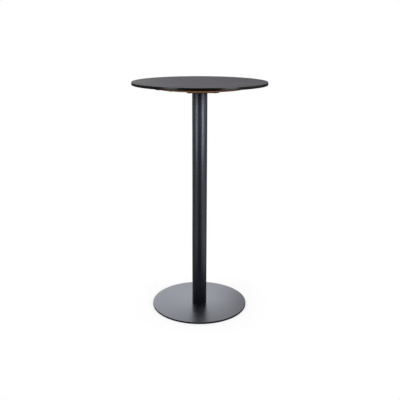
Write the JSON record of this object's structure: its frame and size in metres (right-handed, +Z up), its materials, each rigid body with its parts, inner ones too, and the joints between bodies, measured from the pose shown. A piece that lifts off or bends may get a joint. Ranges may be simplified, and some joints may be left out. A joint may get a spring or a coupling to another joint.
{
  "type": "round pedestal table",
  "caption": "Tall round pedestal table: thin dark round top on a plywood backing board, straight steel column and flat round steel base plate.",
  "frame": {"origin": "on the floor at the column's axis, the centre of the table's footprint", "axes": "+Z up along the column, +X and +Y along arms of the cross-shaped mounting plate, -Y towards the side the picture shows, 4.4 degrees from straight at its camera"},
  "size_m": [0.5999, 0.6, 1.065],
  "materials": {
    "compact_laminate": "matte dark charcoal laminate with a black core",
    "brass_insert": "machined",
    "plywood": "lightly sealed brown plywood with visible plies on its edge",
    "zinc_steel": "bright zinc plated",
    "black_coated_steel": "matte black powder coat",
    "column_coating": "satin black powder coat with a bluish sheen, fine texture",
    "bare_steel": "laser cut, uncoated",
    "black_oxide_steel": "black oxide, slightly oily",
    "base_coating": "satin metallic anthracite powder coat, fine texture",
    "glide_plastic": "matte moulded plastic"
  },
  "bodies": {
    "root": {"tabletop": "compact_laminate", "top_inserts": "brass_insert", "backing_board": "plywood", "board_screws": "zinc_steel", "tee_nuts": "zinc_steel", "mounting_plate": "black_coated_steel", "plate_washers": "zinc_steel", "lock_washers": "zinc_steel", "plate_bolts": "zinc_steel", "column_tube": "column_coating", "head_disc": "bare_steel", "head_screws": "black_oxide_steel", "foot_disc": "bare_steel", "base_plate": "base_coating", "base_screws": "black_oxide_steel", "floor_glides": "glide_plastic"}
  },
  "joints": []
}
